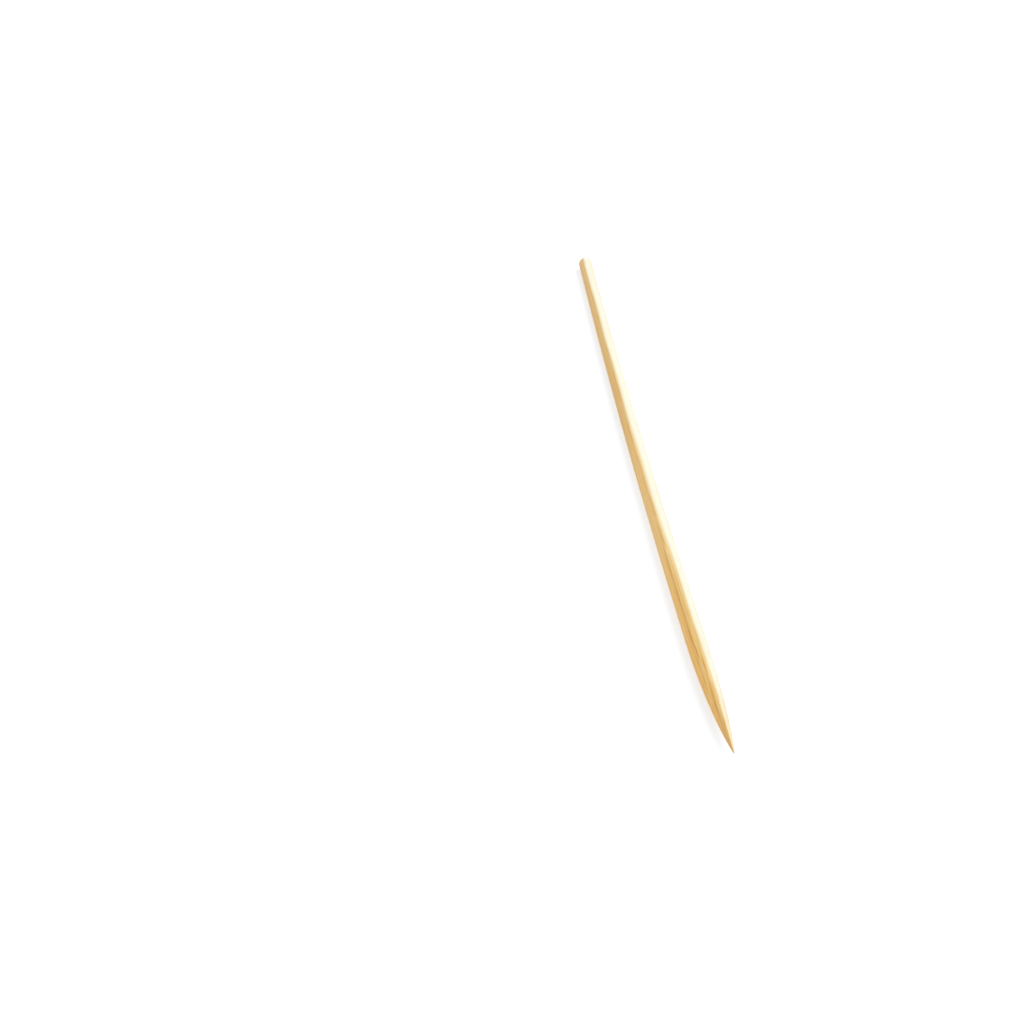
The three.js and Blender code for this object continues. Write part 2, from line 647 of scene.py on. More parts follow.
    def skin(self) -> tuple[np.ndarray, dict[str, np.ndarray], Outline]:
        """Works out every point of the skin.

        A point lies at its ring's radius from the centre line, less the hollow at that place and less
        the wear of the arris, which two sine waves around it make uneven. The sawn face is dented along
        the skewer by the strokes of the saw and between the fluffed ends of the bundles. Nothing stands
        out past the part's own outline.

        Returns:
            The points as rings by sides by three in millimetres, the values kept on each point, and the
            outline.
        """
        size, depth, culm_and_lit_side, line = self.sizes, self.relief, self.culm_and_lit_side, self.outline()
        angle = np.arange(self.fineness.sides)[None, :] * math.tau / self.fineness.sides - math.pi / 2
        ring, along = line.radius[:, None], line.distance[:, None]
        level = np.broadcast_to(along, (len(line.radius), self.fineness.sides))
        across, up = culm_and_lit_side.along_fibres(ring * np.cos(angle), ring * np.sin(angle), level)
        body = np.clip(ring / size.radius, 0, 1)
        ground = np.clip((size.point_length + depth.ground_past - along) / depth.ground_fade, 0, 1)
        end = np.clip((along - size.length + size.arris_radius) / size.arris_radius, 0, 1)
        end_grain = np.clip(2 * end - 1, 0, 1)

        bundles = culm_and_lit_side.bundles(size.radius, self.seed)
        opened = [replace(each, strength=culm_and_lit_side.sawn_through) for each in bundles]
        bundle = self.bundle_field(bundles, across, up, level)
        bundle = bundle + end_grain * (self.bundle_field(opened, across, up, level) - bundle)
        sliver = self.bundle_field(culm_and_lit_side.slivers, across, up, level)

        hollow = self.hollows(angle, line, np.maximum(bundle, sliver), ground)
        wear = np.full(angle.shape, 0.5)
        for height, waves, phase in depth.arris_waves:
            wear = wear + height * np.sin(waves * angle + phase)
        hollow += depth.arris_wear * wear * end * body**3
        radius = ring - np.minimum(hollow, 0.5 * ring)

        sawn = line.of(Zone.SAWN_END)[:, None]
        strokes = 0.5 + 0.5 * np.sin((up + depth.stroke_slant * across) * math.tau / depth.saw_pitch)
        rough = (1 - depth.stroke_share) * (1 - bundle) + depth.stroke_share * strokes
        back = depth.sawn_face * rough * end_grain

        points = np.empty((*across.shape, 3))
        points[..., 0] = radius * np.cos(angle) + self.centre_line(along)
        points[..., 1] = np.where(sawn, level - back, level)
        points[..., 2] = radius * np.sin(angle)

        # Away from the sawn end, a ring that is ground thin counts as if it had the full radius. So the
        # painted lit and shaded sides keep their shares of the section up to the tip, as light and shade
        # would.
        thin = np.where(sawn, 1.0, np.clip(body, 0.02, 1))
        turn = math.radians(culm_and_lit_side.inner_and_lit_side)
        moved = culm_and_lit_side.slant * (along - culm_and_lit_side.shoulder)
        # How far each point lies into the painted lit side: positive there, negative on the painted
        # shaded side.
        layer = ring * np.cos(angle - turn) / thin + moved - culm_and_lit_side.edge(along)
        tip = np.clip(1 - along / depth.tip_reach, 0, 1)
        kept = {
            "grain": np.stack([across, level, up], -1),
            "layer": layer,
            "bundle": bundle,
            "sliver": sliver,
            "ground": np.broadcast_to(ground, across.shape),
            "end_grain": np.broadcast_to(end_grain, across.shape),
            "tip": np.broadcast_to(tip, across.shape),
        }
        return points, kept, line

    def settle(self, points: np.ndarray) -> np.ndarray:
        """Moves millimetre points to their place in the part's frame, in metres.

        The smooth outline, which the part's box measures, is centred on the box: its sideways reach is
        that of the centre line plus or minus the ring's radius.

        Args:
            points: an array of points, the last axis X, Y and Z, with the tip at Y = 0 and Z = 0 in the
                middle of the skewer.

        Returns:
            The same points, moved and scaled.
        """
        line = self.outline()
        centre = self.centre_line(line.distance)
        sideways = (np.max(centre + line.radius) + np.min(centre - line.radius)) / 2
        home = np.array([sideways, self.sizes.length / 2, 0.0])
        return (points - home) * MM + np.array(self.middle)

    def faces(self, rings: int) -> tuple[np.ndarray, np.ndarray]:
        """Joins the rings: a quad between neighbours on two rings, and a fan of triangles at each pole.

        Args:
            rings: number of rings between the poles.

        Returns:
            The quads and the triangles, as rows of point numbers. The tip's pole comes after all ring
            points, and the sawn face's pole after it.
        """
        sides = self.fineness.sides
        number = np.arange(rings * sides).reshape(rings, sides)
        after = np.roll(number, -1, axis=1)
        quads = np.stack([number[:-1], after[:-1], after[1:], number[1:]], -1).reshape(-1, 4)
        tip, butt = rings * sides, rings * sides + 1
        first = np.stack([np.full(sides, tip), after[0], number[0]], -1)
        last = np.stack([np.full(sides, butt), number[-1], after[-1]], -1)
        return quads, np.concatenate([first, last])

    def bake_places(self, line: Outline, corners: np.ndarray) -> np.ndarray:
        """Lays the skin out flat on a map for baking the finish.

        The skin is cut along its underside into two upright strips, the front with the point and the
        rear, both spread much wider than they are, since the grain is fine across and long. The sawn face
        is a disc beside them.

        Args:
            line: the outline.
            corners: the faces' point numbers, one row a face, with a pole in the first place.

        Returns:
            One place on the square for each corner, in order.
        """
        sheet, size, sides = self.sheet, self.sizes, self.fineness.sides
        points = len(line.radius) * sides
        pole = corners >= points
        ring = np.where(pole, corners - points + len(line.radius), corners // sides)
        distance = np.append(line.distance, [0.0, size.length])[ring]
        radius = np.append(line.radius, [0.0, 0.0])[ring]
        nearest = distance.min(1, keepdims=True)

        column = corners % sides
        seam = (column == 0) & (column.max(1, keepdims=True) > sides / 2)
        column = np.where(seam, sides, column)
        column = np.where(pole, column[:, 1:].mean(1, keepdims=True), column)

        split = sheet.front * size.length
        rear = nearest >= split
        low, high = np.where(rear, split, 0.0), np.where(rear, size.length, split)
        right = sheet.edge + (sheet.strip + 2 * sheet.edge) * rear + sheet.strip * column / sides
        up = sheet.edge + (1 - 2 * sheet.edge) * (distance - low) / (high - low)

        turn = column * math.tau / sides
        reach = (sheet.disc * radius / size.radius)[..., None]
        middle = np.array([1 - sheet.disc - sheet.edge, sheet.disc + sheet.edge])
        on_disc = middle + reach * np.stack([np.cos(turn), np.sin(turn)], -1)
        flat = (nearest > size.length - 0.5 * size.arris_radius)[..., None]
        return np.where(flat, on_disc, np.stack([right, up], -1)).reshape(-1, 2)

    def build(self) -> bpy.types.Object:
        """Makes the closed mesh, with the values that its finish reads.

        Returns:
            The new object, at the origin, with its place in its mesh.
        """
        points, kept, line = self.skin()
        poles = np.stack([points[0].mean(0), points[-1].mean(0)])
        poles[0, 1] = 0.0
        flat = np.concatenate([points.reshape(-1, 3), poles])
        quads, triangles = self.faces(len(points))

        mesh = bpy.data.meshes.new("skewer_skin")
        corner_of = np.concatenate([quads.ravel(), triangles.ravel()])
        starts = np.append(np.arange(len(quads)) * 4, quads.size + np.arange(len(triangles)) * 3)
        mesh.vertices.add(len(flat))
        mesh.vertices.foreach_set("co", self.settle(flat).ravel())
        mesh.loops.add(len(corner_of))
        mesh.loops.foreach_set("vertex_index", corner_of.astype(np.int32))
        mesh.polygons.add(len(starts))
        mesh.polygons.foreach_set("loop_start", starts.astype(np.int32))
        mesh.update(calc_edges=True)
        mesh.validate()
        mesh.shade_smooth()

        for name, value in kept.items():
            wide = value.ndim == 3
            rows = value.reshape(-1, 3 if wide else 1)
            ends = np.stack([value[0].mean(0), value[-1].mean(0)]).reshape(2, -1)
            kind, key = ("FLOAT_VECTOR", "vector") if wide else ("FLOAT", "value")
            values = np.concatenate([rows, ends]).astype(np.float32)
            mesh.attributes.new(name, kind, "POINT").data.foreach_set(key, values.ravel())

        places = np.concatenate([self.bake_places(line, quads), self.bake_places(line, triangles)])
        mesh.uv_layers.new(name="OFBake").uv.foreach_set("vector", places.ravel().astype(np.float32))
        LOG.info("skewer: %d points, %d quads, %d triangles", len(flat), len(quads), len(triangles))
        return put("bamboo_skewer", mesh)

    def dress(self, skewer: bpy.types.Object, finish: bpy.types.Material) -> None:
        """Gives the skewer its finish, attaches it to the body that it rides on, and hides the part's
        node that it stands in for.

        Args:
            skewer: the built skewer.
            finish: its material.
        """
        skewer.data.materials.append(finish)
        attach(skewer, BODY)
        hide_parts(NODE)
        LOG.info("skewer dressed: %.1f x %.1f mm", self.sizes.length, self.sizes.diameter)


@dataclass
class Bench:
    """Adds and wires the nodes of one tree."""

    tree: bpy.types.NodeTree

    @classmethod
    def clear(cls, owner: bpy.types.Material | bpy.types.World) -> "Bench":
        """Empties the tree of a material or a world and starts on it.

        Args:
            owner: the material or the world.

        Returns:
            The bench.
        """
        owner.use_nodes = True
        owner.node_tree.nodes.clear()
        return cls(owner.node_tree)

    def add(self, kind: str, **settings: object) -> bpy.types.Node:
        """Adds a node of this kind and sets its own settings.

        Args:
            kind: the node's type name, without the leading ShaderNode.
            settings: the node's settings by name.

        Returns:
            The new node.
        """
        prefix = "" if kind.startswith("NodeGroup") else "ShaderNode"
        node = self.tree.nodes.new(prefix + kind)
        for name, value in settings.items():
            setattr(node, name, value)
        return node

    def feed(self, socket: Socket, source: object) -> None:
        """Links a socket to another, or sets it to a plain value.

        Args:
            socket: the input.
            source: a socket, a number, or three numbers.
        """
        if isinstance(source, Socket):
            self.tree.links.new(source, socket)
        elif isinstance(source, tuple) and socket.type == "RGBA":
            socket.default_value = (*source, 1.0)
        else:
            socket.default_value = source

    def feed_all(self, node: bpy.types.Node, **sources: object) -> bpy.types.Node:
        """Feeds inputs by name, with an underscore for a space in the name.

        Args:
            node: the node.
            sources: what each input gets.

        Returns:
            The same node.
        """
        for name, source in sources.items():
            self.feed(node.inputs[name.replace("_", " ")], source)
        return node

    def maths(self, operation: str, *values: object, clamp: bool = False) -> Socket:
        """One sum on numbers.

        Args:
            operation: the Math node's operation.
            values: its inputs in order, as sockets or numbers.
            clamp: keeps the result between 0 and 1.

        Returns:
            The result.
        """
        node = self.add("Math", operation=operation, use_clamp=clamp)
        for socket, value in zip(node.inputs, values):
            self.feed(socket, value)
        return node.outputs[0]

    def times(self, first: object, *others: object, clamp: bool = False) -> Socket:
        """Multiplies numbers one after another.

        Args:
            first: the first number.
            others: what it's multiplied by, in turn.
            clamp: keeps each product between 0 and 1.

        Returns:
            The product.
        """
        for other in others:
            first = self.maths("MULTIPLY", first, other, clamp=clamp)
        return first

    def line(self, value: object, slope: object, start: object, clamp: bool = False) -> Socket:
        """A straight line: the value times the slope, plus the start.

        Args:
            value: the number that changes.
            slope: what it's multiplied by.
            start: what is added.
            clamp: keeps the result between 0 and 1.

        Returns:
            The result.
        """
        return self.maths("MULTIPLY_ADD", value, slope, start, clamp=clamp)

    def spread(self, value: object, low: object, high: object, to: Span = (0.0, 1.0)) -> Socket:
        """Spreads the stretch from low to high smoothly over another stretch.

        Args:
            value: the number to spread.
            low: where the stretch starts.
            high: where it ends.
            to: the new start and end.

        Returns:
            The spread number, held at its ends.
        """
        node = self.add("MapRange", interpolation_type="SMOOTHSTEP")
        self.feed_all(node, Value=value, From_Min=low, From_Max=high, To_Min=to[0], To_Max=to[1])
        return node.outputs["Result"]

    def blend(self, share: object, first: object, second: object) -> Socket:
        """Blends two colours.

        Args:
            share: how much of the second, from 0 to 1.
            first: the first colour.
            second: the second colour.

        Returns:
            The blended colour.
        """
        node = self.add("Mix", data_type="RGBA", clamp_factor=True)
        self.feed(node.inputs["Factor"], share)
        self.feed(node.inputs[6], first)
        self.feed(node.inputs[7], second)
        return node.outputs[2]

    def tint(self, colour: Socket, strength: float, towards: Shown, *masks: Socket) -> Socket:
        """Blends a colour towards another by the product of masks.

        Args:
            colour: the colour so far.
            strength: the share where all masks are 1.
            towards: the other colour, as a screen shows it.
            masks: the masks.

        Returns:
            The tinted colour.
        """
        return self.blend(self.times(*masks, strength), colour, linear(*towards))

    def looked_at(self, path: bpy.types.Node) -> Socket:
        """Finds the rays by which the camera sees a surface: straight, mirrored or through glass.

        Args:
            path: a Light Path node of this tree.

        Returns:
            1 on those rays, 0 on all others.
        """
        seen = self.maths("MAXIMUM", path.outputs["Is Camera Ray"], path.outputs["Is Glossy Ray"])
        return self.maths("MAXIMUM", seen, path.outputs["Is Transmission Ray"])


def new_group(
    name: str, inputs: dict[str, float | Point], outputs: dict[str, str]
) -> tuple[Bench, bpy.types.Node, bpy.types.Node]:
    """Starts a shader node group with named sockets.

    Args:
        name: the group's name.
        inputs: a start value for each input; three numbers make a vector.
        outputs: a socket type for each output.

    Returns:
        The bench to build it on, its input node and its output node.
    """
    tree = bpy.data.node_groups.new(name, "ShaderNodeTree")
    for label, value in inputs.items():
        kind = "NodeSocketVector" if isinstance(value, tuple) else "NodeSocketFloat"
        socket = tree.interface.new_socket(name=label, in_out="INPUT", socket_type=kind)
        socket.default_value = value
    for label, kind in outputs.items():
        tree.interface.new_socket(name=label, in_out="OUTPUT", socket_type=kind)
    bench = Bench(tree)
    return bench, bench.add("NodeGroupInput"), bench.add("NodeGroupOutput")


@dataclass(frozen=True)
class Streaks:
    """One kind of streaks along the grain.

    Attributes:
        spacing: distance between two streaks, in millimetres.
        run: length of a streak along the skewer, in millimetres.
        low: level of the noise at which a streak begins to show.
        high: level at which it shows in full.
        detail: how many finer layers of noise are added.
    """

    spacing: float = 0.3
    run: float = 20.0
    low: float = 0.4
    high: float = 0.6
    detail: float = 3.0

    def mask(self, bench: Bench, place: Socket) -> Socket:
        """Places the group of streaks in a material with these values.

        Args:
            bench: the material's bench.
            place: the place in the straightened solid, in millimetres.

        Returns:
            The mask, from 0 to 1.
        """
        spacing, run, low, high, detail = astuple(self)
        node = bench.add("Group", node_tree=GRAIN)
        bench.feed_all(node, Place=place, Spacing=spacing, Run=run, Low=low, High=high, Detail=detail)
        return node.outputs["Mask"]


def grain_group() -> bpy.types.NodeTree:
    """Streaks along the grain: noise squeezed across the skewer and drawn out along it.

    Returns:
        The group, with inputs Place, Spacing, Run, Low, High and Detail and the output Mask.
    """
    spacing, run, low, high, detail = astuple(Streaks())
    start = {
        "Place": (0.0, 0.0, 0.0),
        "Spacing": spacing,
        "Run": run,
        "Detail": detail,
        "Low": low,
        "High": high,
    }
    bench, given, result = new_group("grain_streaks", start, {"Mask": "NodeSocketFloat"})
    across = bench.maths("DIVIDE", 1.0, given.outputs["Spacing"])
    lengthwise = bench.maths("DIVIDE", 1.0, given.outputs["Run"])
    squeeze = bench.feed_all(bench.add("CombineXYZ"), X=across, Y=lengthwise, Z=across)
    scaled = bench.add("VectorMath", operation="MULTIPLY")
    bench.feed(scaled.inputs[0], given.outputs["Place"])
    bench.feed(scaled.inputs[1], squeeze.outputs[0])
    noise = bench.add("TexNoise", noise_dimensions="3D")
    bench.feed_all(noise, Vector=scaled.outputs[0], Detail=given.outputs["Detail"])
    bench.feed_all(noise, Scale=1.0, Roughness=0.6)
    mask = bench.spread(noise.outputs["Fac"], given.outputs["Low"], given.outputs["High"])
    bench.feed(result.inputs["Mask"], mask)
    return bench.tree


GRAIN = grain_group()


@dataclass(frozen=True)
class LitShadePlan:
    """Where the colours of the painted lit and shaded sides change, each from the first number of a span
    to the second.

    Stretches are distances from the tip in millimetres. Layers are distances from the painted terminator,
    positive towards the painted lit side, as the skin's attribute gives them.

    Attributes:
        middle: stretch over which the honey of the point turns into that of the middle.
        far: stretch over which that turns into the darker honey of the far end, which is painted shade.
        widening: stretch over which the painted terminator grows wider.
        widened: what its width is multiplied by at the two ends of that stretch.
        narrowing: stretch at the point over which the painted lit side closes up towards the tip.
        narrowed: what their width is multiplied by at its two ends.
        ragged: how far broad streaks push the painted terminator to and fro.
        lower_left: layers over which the far part of the painted shaded side turns lighter, on the point.
        pale: layers over which the painted shade turns into painted light, across the painted terminator.
        haze: layers over which it slowly lightens besides.
        haze_share: how much of the change the haze takes.
        lit_falloff: layers over which the painted light turns duller towards the far edge of the lit
            side.
    """

    middle: Span = (48.0, 76.0)
    far: Span = (90.0, 150.0)
    widening: Span = (40.0, 140.0)
    widened: Span = (1.0, 1.45)
    narrowing: Span = (8.0, 26.0)
    narrowed: Span = (0.55, 1.0)
    ragged: float = 0.15
    lower_left: Span = (-1.7, -2.7)
    pale: Span = (-0.36, 0.44)
    haze: Span = (-1.5, 0.5)
    haze_share: float = 0.22
    lit_falloff: Span = (0.8, 1.9)


@dataclass(frozen=True)
class Strengths:
    """How strongly each mark of the grain shows, from 0 to 1.

    Attributes:
        on_pale: share of the streaks that shows on the painted lit side.
        on_lit_falloff: the same on the duller far edge of the painted lit side.
        marks_on_pale: share of the bundles' colour that shows on the painted lit side.
        terminator_band: the painted warm band along the painted terminator, where the lit and shaded
            sides meet.
        terminator_band_torn: what the torn fibres of the ground point add to it.
        fine: the fine streaks.
        hair: the hair-thin ones.
        wide: the wide ones.
        sliced: the slices that the grinding has opened.
        bundle: the fibre bundles.
        bundle_lines: what the torn lines add to a bundle.
        bundle_plain: what it has without them.
        opened: the dark core of a bundle that the grinding has opened.
        core: strengths of a bundle between which that core appears.
        sliver: the pale strands beside the bundles.
        tip: the darker end of the point on the painted shaded side.
        tip_pale: the same on the painted lit side.
        tip_begins: nearness to the tip at which the darker end begins on the painted shaded side.
        tip_begins_lower_left: how much nearer the tip it begins on that lighter far part.
        sawn_hair: the hair-thin streaks on the sawn face.
        sawn_bundle: the bundles there.
        dot: strengths of a bundle between which its dot appears there.
    """

    on_pale: float = 0.06
    on_lit_falloff: float = 0.40
    marks_on_pale: float = 0.50
    terminator_band: float = 0.22
    terminator_band_torn: float = 0.36
    fine: float = 0.30
    hair: float = 0.14
    wide: float = 0.22
    sliced: float = 0.50
    bundle: float = 0.95
    bundle_lines: float = 0.75
    bundle_plain: float = 0.55
    opened: float = 0.35
    core: Span = (0.62, 0.95)
    sliver: float = 0.75
    tip: float = 0.55
    tip_pale: float = 0.95
    tip_begins: float = 0.1
    tip_begins_lower_left: float = 0.4
    sawn_hair: float = 0.25
    sawn_bundle: float = 0.55
    dot: Span = (0.35, 0.75)


@dataclass(frozen=True)
class Bamboo:
    """The finish of tumbled bare bamboo. Colours are as a screen shows them under white light.

    Attributes:
        pale, lit_falloff: painted light on the lit side, and the same light turning duller towards its
            far edge.
        honey_point, honey, honey_far_shaded: the bamboo's honey on the point, in the middle and at the
            far end, used as painted shade on the shaded side. The far end's is darker still, as painted
            shade.
        lower_left: the lighter tone of the far part of the painted shaded side, on the point.
        terminator_band: the painted warm band where the painted lit and shaded sides meet.
        fibre: all streaks.
        bundle, bundle_far: the fibre bundles on the point, and behind it.
        sliver: the pale strands beside them.
        cut: what the grinding has sliced open.
        tip, tip_pale: the end of the point, on the painted shaded side and on the painted lit side.
        end_honey, end_pale: the sawn face, on the painted shaded side and on the painted lit side.
        pore: the open core of a bundle.
        broad: streaks that make the layers' borders ragged.
        lines: torn lines, in the fringe and the bundles.
        fine, wide, hair: the streaks of the grain.
        slices: streaks that the grinding has sliced open.
        scratches: scratches of the grinding, which run across the grain.
        plan: where the layers' colours change.
        show: how strongly the marks show.
        roughness: roughness of the skin.
        rougher_fine, rougher_ground, rougher_sawn: what fine streaks, grinding and sawing add to it.
        raised_hair, sunk_fine, sunk_scratch: heights in the bump, as shares of bump_height.
        bump_strength: strength of the bump.
        bump_height: its height in metres.
        gloss: specular level.
        subsurface: share of the light that goes through the skin.
        subsurface_radius: how far red, green and blue go in it.
        subsurface_scale: what those are multiplied by, in metres.
    """

    # Painted light: this pale and the duller colour below paint the lit side.
    pale: Shown = (249, 250, 233)
    lit_falloff: Shown = (245, 239, 214)
    # Painted shade: the honey colours paint the shaded side, on top of the bamboo's own honey.
    honey: Shown = (243, 220, 163)
    honey_point: Shown = (232, 205, 139)
    # Lighter tone on the far part of the painted shaded side, on the point.
    lower_left: Shown = (247, 217, 148)
    # Painted shade: the far end's honey is darker.
    honey_far_shaded: Shown = (227, 198, 131)
    # Painted warm band along the painted terminator.
    terminator_band: Shown = (255, 226, 150)
    fibre: Shown = (224, 172, 92)
    bundle: Shown = (213, 146, 36)
    bundle_far: Shown = (198, 146, 60)
    sliver: Shown = (252, 228, 174)
    cut: Shown = (226, 184, 118)
    tip: Shown = (206, 164, 108)
    tip_pale: Shown = (252, 230, 184)
    end_honey: Shown = (222, 186, 126)
    end_pale: Shown = (238, 218, 176)
    pore: Shown = (176, 104, 28)
    broad: Streaks = Streaks(0.9, 80.0, 0.25, 0.75, 2.0)
    lines: Streaks = Streaks(0.22, 9.0, 0.38, 0.60)
    fine: Streaks = Streaks(0.16, 22.0, 0.42, 0.66)
    wide: Streaks = Streaks(0.55, 60.0, 0.45, 0.75, 2.0)
    hair: Streaks = Streaks(0.07, 12.0, 0.35, 0.65)
    slices: Streaks = Streaks(0.24, 5.0, 0.50, 0.62, 4.0)
    scratches: Streaks = Streaks(1.6, 0.07, 0.48, 0.70)
    plan: LitShadePlan = LitShadePlan()
    show: Strengths = Strengths()
    roughness: float = 0.44
    rougher_fine: float = 0.08
    rougher_ground: float = 0.08
    rougher_sawn: float = 0.25
    raised_hair: float = 0.5
    sunk_fine: float = -0.6
    sunk_scratch: float = -0.35
    bump_strength: float = 0.35
    bump_height: float = 0.03 * MM
    gloss: float = 0.30
    subsurface: float = 0.10
    subsurface_radius: Colour = (1.0, 0.55, 0.25)
    subsurface_scale: float = 1.2 * MM

    def lit_and_shaded_sides(self, bench: Bench, read: dict[str, Socket]) -> tuple[Socket, dict[str, Socket]]:
        """Paints the lit and shaded sides: honey as painted shade and pale as painted light, with the
        painted terminator between them.

        The attribute read here says how far a point lies into the painted lit side. Broad streaks push it
        to and fro, and it's divided by how wide the changes are at that distance from the tip.

        Args:
            bench: the material's bench.
            read: the attributes by name.

        Returns:
            The colour, and the masks of the lighter lower left, the painted lit side, the painted shaded
            side, the lit side's duller edge, and the middle.
        """
        plan, along = self.plan, read["along"]
        middle, far = bench.spread(along, *plan.middle), bench.spread(along, *plan.far)
        sway = bench.maths("SUBTRACT", self.broad.mask(bench, read["grain"]), 0.5)
        layer = bench.line(sway, plan.ragged, read["layer"])
        layer = bench.maths("DIVIDE", layer, bench.spread(along, *plan.widening, plan.widened))
        lower_left = bench.spread(layer, *plan.lower_left)
        layer = bench.maths("DIVIDE", layer, bench.spread(along, *plan.narrowing, plan.narrowed))
        haze = bench.times(bench.spread(layer, *plan.haze), plan.haze_share)
        inner_and_lit = bench.line(bench.spread(layer, *plan.pale), 1 - plan.haze_share, haze)
        lit_falloff = bench.spread(layer, *plan.lit_falloff)

        # The shaded side starts from the point's honey, lighter on its far part.
        colour = bench.blend(lower_left, linear(*self.honey_point), linear(*self.lower_left))
        colour = bench.blend(middle, colour, linear(*self.honey))
        # Painted shade: darker honey towards the far end.
        colour = bench.blend(far, colour, linear(*self.honey_far_shaded))
        # Painted light on the lit side, turning duller towards its far edge.
        inside = bench.blend(lit_falloff, linear(*self.pale), linear(*self.lit_falloff))
        colour = bench.blend(inner_and_lit, colour, inside)
        outer_and_shaded = bench.maths("SUBTRACT", 1.0, inner_and_lit)
        return colour, {"lower_left": lower_left, "inner_and_lit": inner_and_lit, "outer_and_shaded": outer_and_shaded, "lit_falloff": lit_falloff, "middle": middle}

    def grain(
        self, bench: Bench, colour: Socket, read: dict[str, Socket], at: dict[str, Socket]
    ) -> Socket:
        """Lays the streaks, the bundles and the pale strands over the painted lit and shaded sides, and
        darkens the tip.

        Args:
            bench: the material's bench.
            colour: the colour of the painted lit and shaded sides.
            read: the attributes and the streaks by name.
            at: their masks by name.

        Returns:
            The colour of the skin.
        """
        show, ground, bundle, lines = self.show, read["ground"], read["bundle"], read["lines"]
        inner_and_lit, outer_and_shaded = at["inner_and_lit"], at["outer_and_shaded"]
        # Streaks show faintly on the painted lit side and more on the painted shaded side.
        shows = bench.line(outer_and_shaded, 1 - show.on_pale, show.on_pale)
        shows = bench.maths("MAXIMUM", shows, bench.times(at["lit_falloff"], show.on_lit_falloff))
        # Painted warm band along the painted terminator, torn on the ground point.
        torn = bench.line(bench.times(ground, lines), show.terminator_band_torn, show.terminator_band)
        # The product of the two is a quarter at most, so four of it reach 1 midway.
        terminator_band = bench.times(inner_and_lit, outer_and_shaded, 4.0)
        colour = bench.tint(colour, 1.0, self.terminator_band, terminator_band, torn)
        for name in ("fine", "hair", "wide"):
            colour = bench.tint(colour, getattr(show, name), self.fibre, read[name], shows)
        sliced = bench.times(ground, self.slices.mask(bench, read["grain"]))
        colour = bench.tint(colour, show.sliced, self.cut, sliced, shows)

        # Bundles show less on the painted lit side.
        marked = bench.line(outer_and_shaded, 1 - show.marks_on_pale, show.marks_on_pale)
        combed = bench.line(lines, show.bundle_lines, show.bundle_plain)
        split = bench.times(bundle, combed, clamp=True)
        mark = bench.blend(at["middle"], linear(*self.bundle), linear(*self.bundle_far))
        colour = bench.blend(bench.times(split, marked, show.bundle), colour, mark)
        opened = bench.times(ground, bench.spread(bundle, *show.core))
        colour = bench.tint(colour, show.opened, self.pore, opened, marked)
        colour = bench.tint(colour, show.sliver, self.sliver, read["sliver"])

        begins = bench.line(at["lower_left"], show.tip_begins_lower_left, show.tip_begins)
        nose = bench.spread(read["tip"], begins, 1.0)
        colour = bench.tint(colour, show.tip, self.tip, nose, outer_and_shaded)
        return bench.tint(colour, show.tip_pale, self.tip_pale, read["tip"], inner_and_lit)

    def material(self) -> bpy.types.Material:
        """Builds the finish.

        The grain attribute is the place in the straightened solid in millimetres, so a pattern on it runs
        with the fibres, and a slanted or square cut shows it as in the real thing.

        Returns:
            The material.
        """
        material = bpy.data.materials.new("tumbled_bamboo")
        bench = Bench.clear(material)
        place = bench.add("Attribute", attribute_name="grain").outputs["Vector"]
        read = {"grain": place}
        for name in ("layer", "bundle", "sliver", "ground", "end_grain", "tip"):
            read[name] = bench.add("Attribute", attribute_name=name).outputs["Fac"]
        read["along"] = bench.feed_all(bench.add("SeparateXYZ"), Vector=place).outputs["Y"]
        for name in ("lines", "fine", "wide", "hair"):
            read[name] = getattr(self, name).mask(bench, place)
        ground, end_grain, fine, hair = read["ground"], read["end_grain"], read["fine"], read["hair"]

        colour, at = self.lit_and_shaded_sides(bench, read)
        colour = self.grain(bench, colour, read, at)
        # The sawn face carries the painted lit and shaded sides on as well.
        sawn = bench.blend(at["inner_and_lit"], linear(*self.end_honey), linear(*self.end_pale))
        sawn = bench.tint(sawn, self.show.sawn_hair, self.fibre, hair)
        dots = bench.spread(read["bundle"], *self.show.dot)
        sawn = bench.tint(sawn, self.show.sawn_bundle, self.pore, dots)
        colour = bench.blend(end_grain, colour, sawn)

        rough = bench.line(fine, self.rougher_fine, self.roughness)
        rough = bench.line(ground, self.rougher_ground, rough)
        rough = bench.line(end_grain, self.rougher_sawn, rough, clamp=True)

        scratches = bench.times(ground, self.scratches.mask(bench, place))
        height = bench.line(hair, self.raised_hair, bench.times(fine, self.sunk_fine))
        height = bench.line(scratches, self.sunk_scratch, height)
        bump = bench.add("Bump")
        bench.feed_all(bump, Strength=self.bump_strength, Distance=self.bump_height, Height=height)

        shader = bench.add("BsdfPrincipled", subsurface_method="RANDOM_WALK")
        bench.feed_all(shader, Base_Color=colour, Roughness=rough, Normal=bump.outputs["Normal"])
        shader.inputs["Specular IOR Level"].default_value = self.gloss
        shader.inputs["Subsurface Weight"].default_value = self.subsurface
        shader.inputs["Subsurface Radius"].default_value = self.subsurface_radius
        shader.inputs["Subsurface Scale"].default_value = self.subsurface_scale
        bench.feed_all(bench.add("OutputMaterial"), Surface=shader.outputs["BSDF"])
        return material


